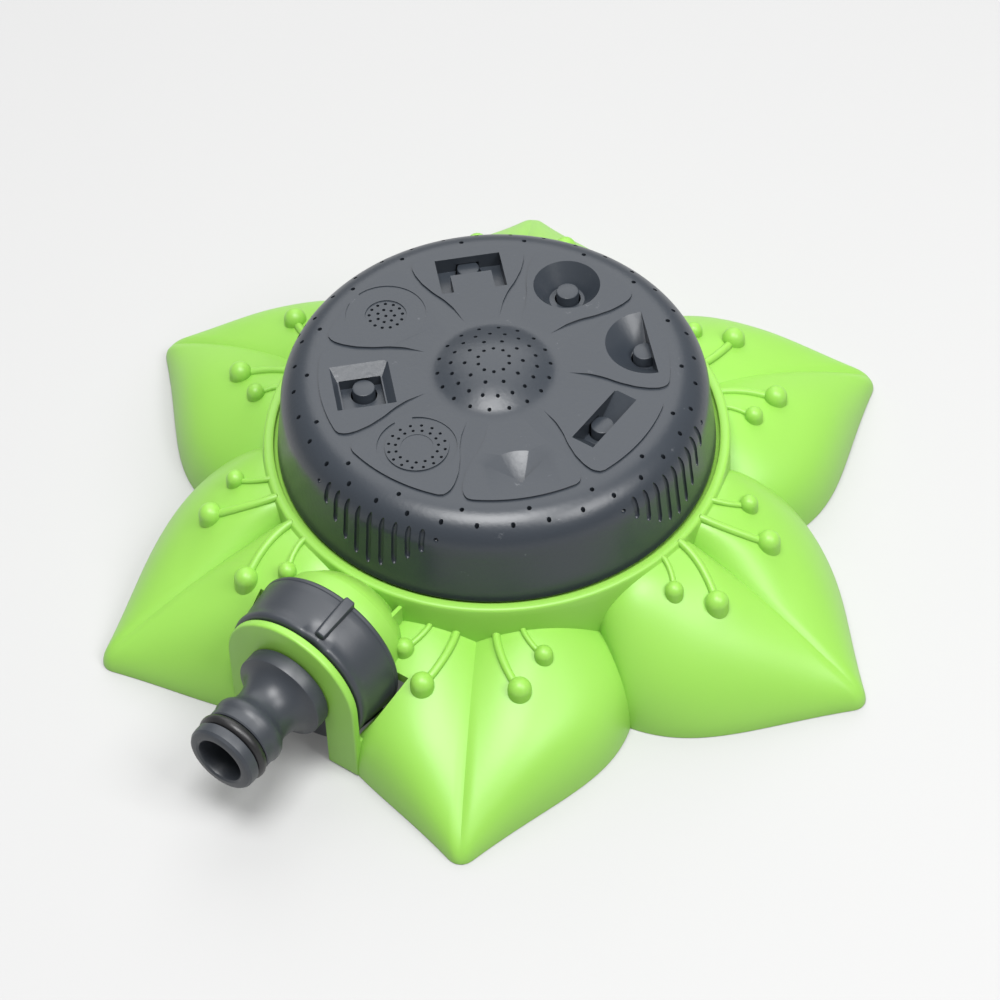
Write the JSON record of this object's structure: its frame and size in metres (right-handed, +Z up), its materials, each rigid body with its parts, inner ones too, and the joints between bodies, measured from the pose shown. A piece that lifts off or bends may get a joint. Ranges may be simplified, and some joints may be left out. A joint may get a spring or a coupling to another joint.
{
  "type": "turret lawn sprinkler",
  "caption": "Flower-shaped lawn sprinkler with a turning multi-pattern dial, a coupling nut and a click-on hose nose.",
  "frame": {"origin": "on the ground at the middle of the whole footprint; the dial axis stands 8.9 mm behind it, at y = +0.00888", "axes": "+Z up along the dial axis, the inlet runs out along -Y, +X to the right seen from the inlet"},
  "size_m": [0.192, 0.184, 0.0525],
  "materials": {
    "lime_plastic": "glossy moulded lime-green plastic",
    "slate_plastic": "satin moulded slate-grey plastic",
    "inner_plastic": "satin dark-grey plastic of the inner mouldings",
    "black_rubber": "black seal rubber",
    "stainless_steel": "plain stainless steel"
  },
  "bodies": {
    "base": {"flower_base": "lime_plastic", "tap_adapter": "slate_plastic", "water_tube": "inner_plastic", "adapter_o_ring": "black_rubber", "hose_washer": "black_rubber", "port_seal": "black_rubber", "inlet_filter": "stainless_steel", "seal_spring": "stainless_steel", "detent_spring": "stainless_steel", "pivot_screw": "stainless_steel", "pivot_washer": "stainless_steel", "pivot_bush": "inner_plastic", "tube_screw_1": "stainless_steel", "tube_screw_2": "stainless_steel", "seal_washer": "stainless_steel", "hub_seal": "black_rubber"},
    "dial": {"dial_cover": "slate_plastic", "nozzle_plate": "inner_plastic"},
    "nut": {"coupling_nut": "slate_plastic"},
    "detent": {"detent_plunger": "stainless_steel"}
  },
  "joints": [
    {"name": "dial_turn", "type": "hinge", "parent": "base", "child": "dial", "pos_m": [0, 0.00888, 0.03], "axis": [0, 0, 1], "continuous": true},
    {"name": "nut_turn", "type": "hinge", "parent": "base", "child": "nut", "pos_m": [0, -0.05952, 0.0196], "axis": [0, -1, 0], "continuous": true},
    {"name": "detent_slide", "type": "slide", "parent": "base", "child": "detent", "axis": [0, 0, 1], "range_m": [-0.0012, 0], "stiffness_N_per_m": 200, "springref_m": 0.002, "deforming": ["detent_spring"]}
  ]
}
